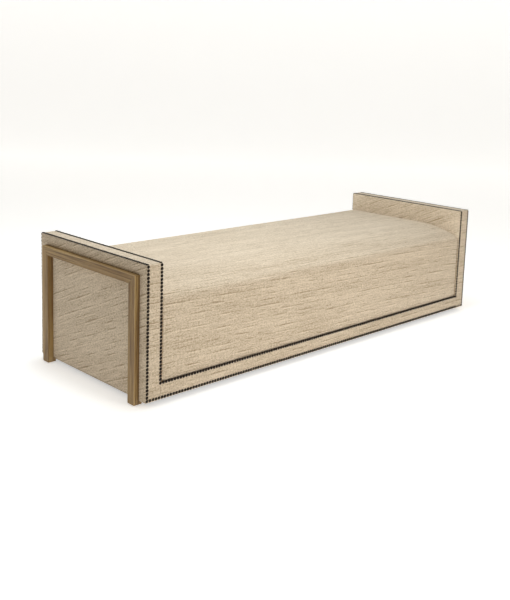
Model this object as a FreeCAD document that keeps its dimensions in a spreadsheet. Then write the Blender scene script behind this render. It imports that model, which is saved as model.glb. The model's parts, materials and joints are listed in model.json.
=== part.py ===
import FreeCAD, Part
import math
import os
import Sketcher

# Upholstered daybed: two flat end boards that carry a long, tightly covered seat between them.
# +X runs along the length, the front faces -Y, +Z is up.  The origin is on the floor under the middle.
# Each end board is measured from its outer face (u), from the front (v) and from the floor (z).

SIZES = (
    ("body_length", 2132, "outer face to outer face of the end boards"),
    ("body_depth", 745, "front to back over the fabric"),
    ("end_height", 552, "floor to the top of the end boards"),
    ("seat_height", 461, "floor to the top of the seat"),
    ("foot_height", 21, "floor to the bottom of the upholstery"),
    ("end_thickness", 77, "thickness of an end board"),
    ("frame_inset", 45, "fabric border between the wooden frame and the edges of the end board"),
    ("frame_proud", 20, "how far the wooden frame stands out of the end board"),
    ("frame_thickness", 38, "thickness of the legs and of the top rail"),
    ("leg_width", 42, "front to back size of a leg"),
    ("rail_height", 37, "height of the top rail of the wooden frame"),
    ("eased_edge", 2, "rounding along the edges of the wooden frame"),
    ("glide_thickness", 3, "floor glide under a leg"),
    ("glide_radius", 14, ""),
    ("dowel_radius", 4, "dowels through the mitred corners"),
    ("dowel_length", 30, ""),
    ("dowel_spacing", 18, ""),
    ("cover_thickness", 1.5, "fabric"),
    ("wadding_thickness", 4, "wadding under the fabric"),
    ("seat_gap", 0.5, "between the seat and an end board"),
    ("nail_radius", 6, "domed head of a nail"),
    ("nail_gap", 2.1, "between the heads of a row"),
    ("nail_edge", 1.5, "between the heads and the edge they follow"),
    ("nail_dome", 3.2, "height of the dome"),
    ("band_spacing", 57.5, "lower to upper nail row of the bottom band"),
    ("core_post_width", 90, "front to back size of a core post"),
    ("core_rail_height", 90, "height of a core rail"),
    ("inner_board_thickness", 3, "board under the inner face of an end"),
    ("lower_rail_height", 90, "seat frame"),
    ("upper_rail_height", 60, ""),
    ("deck_depth", 121, "top of the seat down to the top of the upper seat rails"),
    ("seat_rail_thickness", 25, ""),
    ("face_board_thickness", 5, "boards that carry the fabric of the seat front and back"),
    ("post_width", 60, ""),
    ("stretcher_spacing", 480, ""),
    ("corner_block_leg", 60, "short sides of a corner block"),
    ("corner_block_height", 40, ""),
    ("dust_thickness", 1, "cloth under the upholstery"),
    ("spring_count", 16, ""),
    ("spring_wire_radius", 1.9, ""),
    ("spring_width", 50, "width of a zigzag spring"),
    ("spring_bend_radius", 13, "half the spacing of the cross runs of a spring"),
    ("clip_wall", 1.2, "steel of a spring clip"),
    ("clip_width", 20, ""),
    ("clip_plate", 24, "length of the plate of a clip"),
    ("hessian_thickness", 1, "cloth between springs and foam"),
    ("hessian_gap", 1.8, "between the springs and the hessian"),
    ("crown_radius", 625, "gentle fall of the seat top towards the front"),
    ("crown_start", 240, "front to where the seat top starts to fall"),
    ("front_roll_radius", 35, "roll at the front edge of the seat"),
    ("back_roll_radius", 25, "roll at the back edge of the seat"),
    ("bolt_radius", 4, "bolts between the seat and the ends"),
    ("bolt_spacing", 400, "between the two bolts of a rail, front to back"),
    ("bolt_head_radius", 7, ""),
    ("bolt_head_height", 5, ""),
    ("washer_radius", 12, ""),
    ("washer_thickness", 1.6, ""),
    ("nut_flange_radius", 11, "tee nut"),
    ("nut_flange_thickness", 1.5, ""),
    ("nut_barrel_radius", 5.5, ""),
    ("nut_barrel_length", 12, ""),
    ("screw_radius", 2.4, "screws that hold the wooden frame"),
    ("screw_head_radius", 4.8, ""),
    ("screw_head_height", 3, ""),
    ("screw_bite", 22, "how far a screw goes into the wooden frame"),
    ("bore_clearance", 0.25, "round holes are this much wider than what goes through them, on the radius"),
)

doc = FreeCAD.newDocument("Daybed")
sheet = doc.addObject("Spreadsheet::Sheet", "sizes")
for row, (alias, size, note) in enumerate(SIZES, start=1):
    sheet.set(f"A{row}", alias)
    sheet.set(f"B{row}", str(size))
    sheet.set(f"C{row}", note)
    sheet.setAlias(f"B{row}", alias)
doc.recompute()

pieces = []


def sized(text):
    """Turn the sheet's names in an expression into references to its cells."""
    words = sorted((alias for alias, _, _ in SIZES), key=len, reverse=True)
    marked = text
    for number, word in enumerate(words):
        marked = marked.replace(word, f"#{number}#")
    for number, word in enumerate(words):
        marked = marked.replace(f"#{number}#", f"sizes.{word}")
    return marked


def value(text):
    """Number that an expression on the sheet's names gives."""
    return float(sheet.evalExpression(sized(text)))


def piece(thing, label):
    """Keep a finished object as one sub-part, under the name of its file."""
    thing.Label = label
    pieces.append(thing)
    return thing


def place(thing, x, y, z):
    """Bind the three coordinates of an object's position."""
    for axis, text in zip("xyz", (x, y, z)):
        thing.setExpression(f"Placement.Base.{axis}", sized(text))


def block(name, x, y, z):
    """Rectangular block between the pairs of expressions x, y and z."""
    box = doc.addObject("Part::Box", name)
    for side, (low, high) in zip(("Length", "Width", "Height"), (x, y, z)):
        box.setExpression(side, sized(f"({high}) - ({low})"))
    place(box, x[0], y[0], z[0])
    return box


def rod(name, radius, x, y, z):
    """Cylinder along X between the pair of expressions x, centred on y and z."""
    cylinder = doc.addObject("Part::Cylinder", name)
    cylinder.Placement = FreeCAD.Placement(FreeCAD.Vector(), FreeCAD.Rotation(FreeCAD.Vector(0, 1, 0), 90))
    cylinder.setExpression("Radius", sized(radius))
    cylinder.setExpression("Height", sized(f"({x[1]}) - ({x[0]})"))
    place(cylinder, x[0], y, z)
    return cylinder


def group(name, members):
    """Several separate solids as one object."""
    compound = doc.addObject("Part::Compound", name)
    compound.Links = members
    return compound


def cut(name, base, tools):
    """Base with the tools taken away."""
    result = doc.addObject("Part::Cut", name)
    result.Base = base
    result.Tool = tools[0] if len(tools) == 1 else group(name + "_tools", tools)
    return result


def fuse(name, members):
    """Members joined into one solid."""
    result = doc.addObject("Part::MultiFuse", name)
    result.Shapes = members
    return result


def solids(label, shapes):
    """Sub-part of many small solids whose shapes are worked out here."""
    feature = doc.addObject("Part::Feature", label)
    feature.Shape = Part.makeCompound(shapes)
    feature.Placement = FreeCAD.Placement()
    return piece(feature, label)


def spaced(start, end, pitch):
    """Evenly spaced numbers from start to end, as near to the pitch as fits."""
    count = max(1, round(abs(end - start) / pitch))
    return [start + (end - start) * step / count for step in range(count + 1)]


# Places that many pieces share, as expressions.
OUTER = "body_length / 2"
FRONT = "-body_depth / 2"
BACK = "body_depth / 2"
SKIN = "(cover_thickness + wadding_thickness)"
RECESS = "(frame_thickness - frame_proud)"
FRAME_TOP = "(end_height - frame_inset)"
SEAT_END = "(body_length / 2 - end_thickness - seat_gap)"
NAIL_INSET = "(nail_radius + nail_edge)"
NAIL_PITCH = "(2 * nail_radius + nail_gap)"
BAND_TOP = f"(foot_height + {NAIL_INSET} + band_spacing)"
DECK = "(seat_height - deck_depth)"
SPRING_LEVEL = f"({DECK} + clip_wall + bore_clearance + spring_wire_radius)"
HESSIAN_LOW = f"({SPRING_LEVEL} + spring_wire_radius + hessian_gap)"
HESSIAN_TOP = f"({HESSIAN_LOW} + hessian_thickness)"
CLOTH_TOP = "(foot_height + dust_thickness)"
FRAME_FRONT = f"({FRONT} + {SKIN} + face_board_thickness)"
FRAME_BACK = f"({BACK} - {SKIN} - face_board_thickness)"


class End:
    """One end board: turns depths u from its outer face into x, on the left or on the right."""

    def __init__(self, side):
        self.side = side

    def x(self, low, high):
        """Pair of x expressions between the depths low and high."""
        if self.side == "left":
            return (f"-{OUTER} + ({low})", f"-{OUTER} + ({high})")
        return (f"{OUTER} - ({high})", f"{OUTER} - ({low})")

    def slab(self, name, u, y, z):
        """Block between two depths."""
        return block(f"{self.side}_{name}", self.x(*u), y, z)

    def bore(self, name, radius, u, y, z):
        """Cylinder along X between two depths."""
        return rod(f"{self.side}_{name}", radius, self.x(*u), y, z)


def inside(margin):
    """Pair of y expressions at a margin from the front and the back."""
    return (f"{FRONT} + ({margin})", f"{BACK} - ({margin})")


def outline(body, role, corners):
    """Closed sketch of straight lines on one of the body's planes, each corner bound to its expressions."""
    sketch = body.newObject("Sketcher::SketchObject", body.Name + "_outline")
    plane = next(feature for feature in body.Origin.OriginFeatures if feature.Role == role)
    sketch.AttachmentSupport = (plane, [""])
    sketch.MapMode = "FlatFace"
    points = [FreeCAD.Vector(value(across), value(up), 0) for across, up in corners]
    for index, point in enumerate(points):
        sketch.addGeometry(Part.LineSegment(point, points[(index + 1) % len(points)]))
    for index, pair in enumerate(corners):
        sketch.addConstraint(Sketcher.Constraint("Coincident", index, 2, (index + 1) % len(points), 1))
        for kind, text in zip(("DistanceX", "DistanceY"), pair):
            number = sketch.addConstraint(Sketcher.Constraint(kind, -1, 1, index, 1, value(text)))
            sketch.setExpression(f"Constraints[{number}]", sized(text))
    return sketch


def pad(body, sketch, length):
    """Pad of a sketch, along the normal of its plane."""
    feature = body.newObject("PartDesign::Pad", body.Name + "_pad")
    feature.Profile = sketch
    feature.setExpression("Length", sized(length))
    sketch.Visibility = False
    doc.recompute()
    return feature


def edges_where(feature, test):
    """Names of a feature's edges whose middle and direction pass the test."""
    names = []
    for number, edge in enumerate(feature.Shape.Edges, start=1):
        middle = edge.valueAt((edge.FirstParameter + edge.LastParameter) / 2)
        if test(edge, middle):
            names.append(f"Edge{number}")
    return names


def rounded(body, feature, names, radius):
    """Fillet on some edges of a body."""
    fillet = body.newObject("PartDesign::Fillet", body.Name + "_round")
    fillet.Base = (feature, names)
    fillet.setExpression("Radius", sized(radius))
    doc.recompute()
    body.Tip = fillet
    return fillet


# ---- wooden frame on the outside of each end ----

LEG_FOOT = "glide_thickness"
FRAME_LOW = f"({FRAME_TOP} - rail_height)"


def dowels_at(end, corner_sign, radius, length):
    """Two cylinders square to a mitre, one above the other in the thickness of the frame."""
    width, height = value("leg_width"), value("rail_height")
    across = FreeCAD.Vector(0, -corner_sign * height, width).normalize()
    corner_y = corner_sign * (value(BACK) - value("frame_inset"))
    middle = FreeCAD.Vector(0, corner_y - corner_sign * width / 2, value(FRAME_TOP) - height / 2)
    depth = sum(value(text) for text in end.x("-frame_proud", RECESS)) / 2
    shapes = []
    for step in (-0.5, 0.5):
        centre = middle + FreeCAD.Vector(depth + step * value("dowel_spacing"), 0, 0)
        shapes.append(Part.makeCylinder(radius, length, centre - across * (length / 2), across))
    return shapes


def frame_screw_places(end):
    """Positions (y, z) of the screws of one end, in expressions: those in posts and those in the top rail."""
    posts = []
    for sign in ("-", ""):
        y = f"{sign}(body_depth / 2 - frame_inset - leg_width / 2)"
        posts += [(y, f"foot_height + {gap}") for gap in ("core_rail_height / 2", "end_height * 0.45")]
    rail_z = f"{FRAME_TOP} - rail_height / 2"
    rail = [(f"{share} * body_depth", rail_z) for share in ("-0.2", "0", "0.2")]
    return posts, rail


def frame_part(end, name, corners, tools):
    """Leg or rail: an outline in the plane of the end, padded, with eased edges and bored."""
    body = doc.addObject("PartDesign::Body", f"{end.side}_{name}_body")
    sketch = outline(body, "YZ_Plane", corners)
    solid = pad(body, sketch, "frame_thickness")
    long_edges = edges_where(solid, lambda edge, middle: edge.Length > 2 * value("leg_width")
                             or abs(middle.z - value(LEG_FOOT)) < 0.1)
    rounded(body, solid, long_edges, "eased_edge")
    place(body, end.x("-frame_proud", RECESS)[0], "0", "0")
    return piece(cut(f"{end.side}_{name}_bored", body, tools), f"{end.side}_{name}")


def wooden_frame(end):
    """Front leg, back leg and top rail of one end."""
    bore = value("dowel_radius") + value("bore_clearance")
    deep = value("dowel_length") + 2 * value("bore_clearance")
    posts, rail = frame_screw_places(end)
    reach = (f"{RECESS} - screw_bite - bore_clearance", f"{RECESS} + 1")
    for name, sign, holes in (("front_leg", -1, posts[:2]), ("back_leg", 1, posts[2:])):
        near = f"{sign} * (body_depth / 2 - frame_inset)"
        far = f"{sign} * (body_depth / 2 - frame_inset - leg_width)"
        corners = [(near, LEG_FOOT), (far, LEG_FOOT), (far, FRAME_LOW), (near, FRAME_TOP)]
        tools = [hidden(f"{end.side}_{name}_dowel_bores", dowels_at(end, sign, bore, deep))]
        for number, (y, z) in enumerate(holes):
            tools.append(end.bore(f"{name}_pilot{number}", "screw_radius + bore_clearance", reach, y, z))
        frame_part(end, name, corners, tools)
    half = "(body_depth / 2 - frame_inset)"
    inner = "(body_depth / 2 - frame_inset - leg_width)"
    corners = [(f"-{inner}", FRAME_LOW), (inner, FRAME_LOW), (half, FRAME_TOP), (f"-{half}", FRAME_TOP)]
    bores = dowels_at(end, -1, bore, deep) + dowels_at(end, 1, bore, deep)
    tools = [hidden(f"{end.side}_top_rail_dowel_bores", bores)]
    for number, (y, z) in enumerate(rail):
        tools.append(end.bore(f"top_rail_pilot{number}", "screw_radius + bore_clearance", reach, y, z))
    frame_part(end, "top_rail", corners, tools)


def hidden(name, shapes):
    """Cutting tool made of several shapes."""
    feature = doc.addObject("Part::Feature", name)
    feature.Shape = Part.makeCompound(shapes)
    return feature


# ---- core, boards and strips inside each end ----

CORE_INNER = f"(end_thickness - {SKIN} - inner_board_thickness)"
CORE_TOP = f"(end_height - {SKIN})"
COVERED_LOW = "(foot_height + cover_thickness)"
BOLT_LEVELS = (f"{CLOTH_TOP} + lower_rail_height / 2", f"{DECK} - upper_rail_height / 2")


FLANGE_END = f"({RECESS} + nut_flange_thickness)"
NUT_END = f"({FLANGE_END} + nut_barrel_length)"
UNDER_SCREW_HEAD = f"({CORE_INNER} - screw_head_height)"


def bolt_places():
    """Positions (y, z) of the four bolts of an end, in expressions."""
    return [(f"{sign}bolt_spacing / 2", z) for z in BOLT_LEVELS for sign in ("-", "")]


def core(end):
    """Two posts and three rails of solid wood, glued up as a ladder."""
    posts, top_rail = frame_screw_places(end)
    through = (f"{RECESS} - 1", f"{CORE_INNER} + 1")
    for name, y, holes in (
        ("core_front_post", (f"{FRONT} + {SKIN}", f"{FRONT} + {SKIN} + core_post_width"), posts[:2]),
        ("core_back_post", (f"{BACK} - {SKIN} - core_post_width", f"{BACK} - {SKIN}"), posts[2:]),
    ):
        post = end.slab(name + "_blank", (RECESS, CORE_INNER), y, (CLOTH_TOP, CORE_TOP))
        tools = [end.bore(f"{name}_bore{number}", "screw_radius + bore_clearance", through, hole_y, hole_z)
                 for number, (hole_y, hole_z) in enumerate(holes)]
        tools += [end.bore(f"{name}_head{number}", "screw_head_radius + bore_clearance",
                           (UNDER_SCREW_HEAD, f"{CORE_INNER} + 1"), hole_y, hole_z)
                  for number, (hole_y, hole_z) in enumerate(holes)]
        piece(cut(f"{end.side}_{name}_bored", post, tools), f"{end.side}_{name}")
    between = inside(f"{SKIN} + core_post_width")
    levels = (
        (CLOTH_TOP, f"{CLOTH_TOP} + core_rail_height"),
        (f"{BOLT_LEVELS[1]} - core_rail_height / 2", f"{BOLT_LEVELS[1]} + core_rail_height / 2"),
        (f"{CORE_TOP} - core_rail_height", CORE_TOP),
    )
    rails = group(f"{end.side}_core_rail_blanks", [
        end.slab(f"core_rail{number}", (RECESS, CORE_INNER), between, z) for number, z in enumerate(levels)])
    tools = []
    seats = (("bolt", "bolt_radius", through[1]), ("barrel", "nut_barrel_radius", NUT_END),
             ("flange", "nut_flange_radius", FLANGE_END))
    for number, (y, z) in enumerate(bolt_places()):
        for name, radius, depth in seats:
            tools.append(end.bore(f"{name}_bore{number}", f"{radius} + bore_clearance",
                                  (f"{RECESS} - 1", depth), y, z))
    for number, (y, z) in enumerate(top_rail):
        tools.append(end.bore(f"rail_bore{number}", "screw_radius + bore_clearance", through, y, z))
        tools.append(end.bore(f"rail_head{number}", "screw_head_radius + bore_clearance",
                              (UNDER_SCREW_HEAD, f"{CORE_INNER} + 1"), y, z))
    piece(cut(f"{end.side}_core_rails_bored", rails, tools), f"{end.side}_core_rails")


def boards(end):
    """Inner face board, wooden strips of the outer border and board of the outer panel."""
    face = end.slab("inner_board_blank", (CORE_INNER, f"end_thickness - {SKIN}"), inside(SKIN),
                    (CLOTH_TOP, CORE_TOP))
    tools = [end.bore(f"face_bore{number}", "bolt_radius + bore_clearance",
                      (f"{CORE_INNER} - 1", "end_thickness"), y, z)
             for number, (y, z) in enumerate(bolt_places())]
    piece(cut(f"{end.side}_inner_board_bored", face, tools), f"{end.side}_inner_board")
    edge = "(frame_inset - cover_thickness)"
    u = (SKIN, RECESS)
    upright = (COVERED_LOW, f"end_height - {edge}")
    strips = [
        end.slab("front_strip", u, (f"{FRONT} + {SKIN}", f"{FRONT} + {edge}"), upright),
        end.slab("back_strip", u, (f"{BACK} - {edge}", f"{BACK} - {SKIN}"), upright),
        end.slab("top_strip", u, inside(SKIN), (f"end_height - {edge}", CORE_TOP)),
    ]
    piece(group(f"{end.side}_strips", strips), f"{end.side}_border_strips")
    panel = end.slab("panel_blank", u, inside(f"{PANEL_EDGE} + cover_thickness"),
                     (COVERED_LOW, f"{FRAME_LOW} - cover_thickness"))
    piece(panel, f"{end.side}_panel_board")


# ---- soft layers of each end ----

PANEL_EDGE = "(frame_inset + leg_width)"
LOW = "foot_height"


def soft_layers(end):
    """Wadding and the four fabric covers of one end."""
    thin = "cover_thickness"
    whole = end.slab("wadding_whole", (thin, f"end_thickness - {thin}"), inside(thin),
                     (COVERED_LOW, f"end_height - {thin}"))
    hollow = end.slab("wadding_space", (SKIN, f"end_thickness - {SKIN}"), inside(SKIN),
                      (f"{LOW} - 1", CORE_TOP))
    recess = end.slab("wadding_recess", ("-1", RECESS), inside("frame_inset - cover_thickness"),
                      (f"{LOW} - 1", f"{FRAME_TOP} + cover_thickness"))
    bores = [end.bore(f"wadding_bore{number}", "bolt_radius + bore_clearance",
                      (f"end_thickness - {SKIN} - 1", "end_thickness + 1"), y, z)
             for number, (y, z) in enumerate(bolt_places())]
    wrap = cut(f"{end.side}_wadding_wrap", whole, [hollow, recess] + bores)
    panel_inset = f"{PANEL_EDGE} + cover_thickness"
    sheet_pad = end.slab("panel_wadding", (thin, SKIN), inside(panel_inset),
                         (COVERED_LOW, f"{FRAME_LOW} - {thin}"))
    piece(group(f"{end.side}_wadding_set", [wrap, sheet_pad]), f"{end.side}_wadding")

    tray = end.slab("inner_cover_whole", (f"end_thickness - {NAIL_INSET}", "end_thickness"), inside("0"),
                    (LOW, "end_height"))
    hollow = end.slab("inner_cover_space", (f"end_thickness - {NAIL_INSET} - 1", f"end_thickness - {thin}"),
                      inside(thin), (f"{LOW} - 1", f"end_height - {thin}"))
    bands = [end.slab(f"{name}_notch", (f"end_thickness - {NAIL_INSET} - 1", "end_thickness + 1"), y,
                      (f"{LOW} - 1", BAND_TOP))
             for name, y in (("front", (f"{FRONT} - 1", f"{FRONT} + {thin}")),
                             ("back", (f"{BACK} - {thin}", f"{BACK} + 1")))]
    bores = [end.bore(f"cover_bore{number}", "bolt_radius + bore_clearance",
                      (f"end_thickness - {NAIL_INSET}", "end_thickness + 1"), y, z)
             for number, (y, z) in enumerate(bolt_places())]
    piece(cut(f"{end.side}_inner_cover_cut", tray, [hollow] + bands + bores), f"{end.side}_inner_cover")

    band = end.slab("edge_band_whole", (NAIL_INSET, f"end_thickness - {NAIL_INSET}"), inside("0"),
                    (LOW, "end_height"))
    hollow = end.slab("edge_band_space", ("0", "end_thickness"), inside(thin),
                      (f"{LOW} - 1", f"end_height - {thin}"))
    piece(cut(f"{end.side}_edge_band_cut", band, [hollow]), f"{end.side}_edge_band")

    edge = end.slab("border_whole", ("0", NAIL_INSET), inside("0"), (LOW, "end_height"))
    hollow = end.slab("border_space", (thin, f"{NAIL_INSET} + 1"), inside(thin),
                      (f"{LOW} - 1", f"end_height - {thin}"))
    face = cut(f"{end.side}_border_face", edge, [hollow])
    returns = end.slab("border_returns", ("0", RECESS), inside(f"frame_inset - {thin}"),
                       (LOW, f"{FRAME_TOP} + {thin}"))
    underside = end.slab("border_underside", ("0", RECESS), inside(thin), (LOW, COVERED_LOW))
    opening = end.slab("border_opening", ("-1", f"{RECESS} + 1"), inside("frame_inset"),
                       (f"{LOW} - 1", FRAME_TOP))
    joined = fuse(f"{end.side}_border_joined", [face, returns, underside])
    piece(cut(f"{end.side}_border_cut", joined, [opening]), f"{end.side}_border_cover")

    whole = end.slab("panel_cover_whole", ("0", RECESS), inside(PANEL_EDGE), (LOW, FRAME_LOW))
    hollow = end.slab("panel_cover_space", (thin, f"{RECESS} + 1"), inside(f"{PANEL_EDGE} + {thin}"),
                      (COVERED_LOW, f"{FRAME_LOW} - {thin}"))
    piece(cut(f"{end.side}_panel_cover_cut", whole, [hollow]), f"{end.side}_panel_cover")


# ---- nails ----

def nail(foot, direction):
    """Domed nail head on the fabric: a cap of a sphere on a flat round face, standing along direction."""
    radius, dome = value("nail_radius"), value("nail_dome")
    ball = (radius * radius + dome * dome) / (2 * dome)
    half_angle = math.asin(radius / ball) / 2
    rim = FreeCAD.Vector(radius, 0, 0)
    shoulder = FreeCAD.Vector(ball * math.sin(half_angle), 0, dome - ball * (1 - math.cos(half_angle)))
    top = FreeCAD.Vector(0, 0, dome)
    profile = Part.Wire([
        Part.Arc(rim, shoulder, top).toShape(),
        Part.makeLine(top, FreeCAD.Vector()),
        Part.makeLine(FreeCAD.Vector(), rim),
    ])
    head = Part.Face(profile).revolve(FreeCAD.Vector(), FreeCAD.Vector(0, 0, 1), 360)
    head.Placement = FreeCAD.Placement(foot, FreeCAD.Rotation(FreeCAD.Vector(0, 0, 1), direction))
    return head


def end_nails(end):
    """Two rows over the front, top and back of one end; the inner row stops at the bottom band."""
    inset, pitch = value(NAIL_INSET), value(NAIL_PITCH)
    front, back, top = value(FRONT), value(BACK), value("end_height")
    heads = []
    for depth, low in ((NAIL_INSET, value(LOW) + inset), (f"end_thickness - {NAIL_INSET}", value(BAND_TOP))):
        x = value(end.x(depth, depth)[0])
        for z in spaced(low, top - inset, pitch):
            heads.append(nail(FreeCAD.Vector(x, front, z), FreeCAD.Vector(0, -1, 0)))
            heads.append(nail(FreeCAD.Vector(x, back, z), FreeCAD.Vector(0, 1, 0)))
        for y in spaced(front + inset, back - inset, pitch):
            heads.append(nail(FreeCAD.Vector(x, y, top), FreeCAD.Vector(0, 0, 1)))
    solids(f"{end.side}_end_nails", heads)


def band_nails(label, y, direction):
    """Lower and upper row of a bottom band, between the corner nails of the ends."""
    heads = []
    for reach, z in ((f"{OUTER} - {NAIL_INSET}", f"{LOW} + {NAIL_INSET}"),
                     (f"{OUTER} - end_thickness + {NAIL_INSET}", BAND_TOP)):
        for x in spaced(-value(reach), value(reach), value(NAIL_PITCH))[1:-1]:
            heads.append(nail(FreeCAD.Vector(x, value(y), value(z)), FreeCAD.Vector(0, direction, 0)))
    solids(label, heads)


# ---- seat frame ----

def seat_rails():
    """Lower and upper rails at the front and back, face boards, end rails, posts and stretchers."""
    x = (f"-{SEAT_END}", SEAT_END)
    lower = (CLOTH_TOP, f"{CLOTH_TOP} + lower_rail_height")
    upper = (f"{DECK} - upper_rail_height", DECK)
    wood = "seat_rail_thickness"
    sides = (("front", (FRAME_FRONT, f"{FRAME_FRONT} + {wood}"), (f"{FRONT} + {SKIN}", FRAME_FRONT)),
             ("back", (f"{FRAME_BACK} - {wood}", FRAME_BACK), (FRAME_BACK, f"{BACK} - {SKIN}")))
    for side, y, board_y in sides:
        piece(block(f"{side}_lower", x, y, lower), f"seat_{side}_lower_rail")
        piece(block(f"{side}_upper", x, y, upper), f"seat_{side}_upper_rail")
        piece(block(f"{side}_board", x, board_y, (CLOTH_TOP, HESSIAN_TOP)),
              f"seat_{side}_board")
    between = (f"{FRAME_FRONT} + {wood}", f"{FRAME_BACK} - {wood}")
    for side, end_x in (("left", (f"-{SEAT_END}", f"-{SEAT_END} + {wood}")),
                        ("right", (f"{SEAT_END} - {wood}", SEAT_END))):
        blanks = group(f"seat_{side}_end_blanks", [
            block(f"seat_{side}_end_lower", end_x, between, lower),
            block(f"seat_{side}_end_upper", end_x, between, upper)])
        tools = [rod(f"seat_{side}_bolt_bore{number}", "bolt_radius + bore_clearance",
                     (f"{end_x[0]} - 1", f"{end_x[1]} + 1"), y, z)
                 for number, (y, z) in enumerate(bolt_places())]
        piece(cut(f"seat_{side}_end_bored", blanks, tools), f"seat_{side}_end_rails")
    span = f"({SEAT_END} - post_width)"
    posts = []
    for side, y, _ in sides:
        for number, share in enumerate(("-1", "-1/3", "1/3", "1")):
            low = f"{share} * {span} - post_width / 2 + ({share}) * post_width / 2"
            posts.append(block(f"{side}_post{number}", (low, f"{low} + post_width"), y, (lower[1], upper[0])))
    piece(group("posts", posts), "seat_posts")
    stretchers = [block(f"stretcher{number}",
                        [f"{share} * stretcher_spacing {half} {wood} / 2" for half in "-+"],
                        between, lower)
                  for number, share in enumerate(("-1", "0", "1"))]
    piece(group("stretchers", stretchers), "seat_stretchers")


def corner_blocks():
    """Triangular blocks glued into the corners of the lower and upper frames."""
    leg, height = value("corner_block_leg"), value("corner_block_height")
    inner_x = value(SEAT_END) - value("seat_rail_thickness")
    inner_y = value(FRAME_BACK) - value("seat_rail_thickness")
    shapes = []
    for level in (value(CLOTH_TOP), value(f"{DECK} - upper_rail_height")):
        for sign_x in (-1, 1):
            for sign_y in (-1, 1):
                corner = FreeCAD.Vector(sign_x * inner_x, sign_y * inner_y, level)
                points = [corner, corner - FreeCAD.Vector(sign_x * leg, 0, 0),
                          corner - FreeCAD.Vector(0, sign_y * leg, 0), corner]
                shapes.append(Part.Face(Part.makePolygon(points)).extrude(FreeCAD.Vector(0, 0, height)))
    solids("seat_corner_blocks", shapes)


# ---- springs and cloth under the seat ----

SPRING_REACH = f"{FRAME_BACK} - seat_rail_thickness / 2"


def spring_places():
    """Centre lines of the springs along the seat."""
    count = int(value("spring_count"))
    pitch = 2 * value(SEAT_END) / count
    return [-value(SEAT_END) + pitch * (step + 0.5) for step in range(count)]


def zigzag():
    """One spring: cross runs of wire joined at their ends by bends, each of three short straights."""
    reach, level = value(SPRING_REACH), value(SPRING_LEVEL)
    wire, bend = value("spring_wire_radius"), value("spring_bend_radius")
    half = value("spring_width") / 2 - bend
    runs = max(3, round(reach / bend) // 2 * 2 + 1)
    step = 2 * reach / (runs - 1)
    points = []
    for number in range(runs):
        sign = 1 if number % 2 == 0 else -1
        y = -reach + step * number
        points += [FreeCAD.Vector(-sign * half, y, level), FreeCAD.Vector(sign * half, y, level)]
        for angle in (-math.pi / 6, math.pi / 6) if number < runs - 1 else ():
            points.append(FreeCAD.Vector(sign * (half + step / 2 * math.cos(angle)),
                                         y + step / 2 * (1 + math.sin(angle)), level))
    path = Part.makePolygon(points)
    section = Part.Wire(Part.makeCircle(wire, points[0], FreeCAD.Vector(1, 0, 0)))
    mitred_corners = 1
    spring = path.makePipeShell([section], True, False, mitred_corners)
    if abs(spring.Volume / (math.pi * wire ** 2 * path.Length) - 1) > 0.01:
        raise RuntimeError("a spring's volume doesn't follow from its wire")
    return spring


def springs_and_clips():
    """The springs, a clip at both ends of each, and the hessian over them."""
    spring = zigzag()
    reach, level = value(SPRING_REACH), value(SPRING_LEVEL)
    hole = value("spring_wire_radius") + value("bore_clearance")
    width, plate, wall = value("clip_width"), value("clip_plate"), value("clip_wall")
    springs, clips = [], []
    for x in spring_places():
        springs.append(spring.translated(FreeCAD.Vector(x, 0, 0)))
        for sign in (-1, 1):
            axis = FreeCAD.Vector(x - width / 2, sign * reach, level)
            along = FreeCAD.Vector(1, 0, 0)
            bottom = value(DECK)
            foot = Part.makeBox(width, plate / 2, wall, FreeCAD.Vector(axis.x, axis.y - plate / 4, bottom))
            barrel = Part.makeCylinder(hole + wall, width, axis, along)
            clips.append(foot.fuse(barrel).cut(Part.makeCylinder(hole, width, axis, along)).removeSplitter())
    solids("seat_springs", springs)
    solids("spring_clips", clips)
    piece(block("hessian_sheet", (f"-{SEAT_END}", SEAT_END), inside(SKIN + " + face_board_thickness"),
                (HESSIAN_LOW, HESSIAN_TOP)), "seat_hessian")


# ---- foam, wadding and cover of the seat ----

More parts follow.
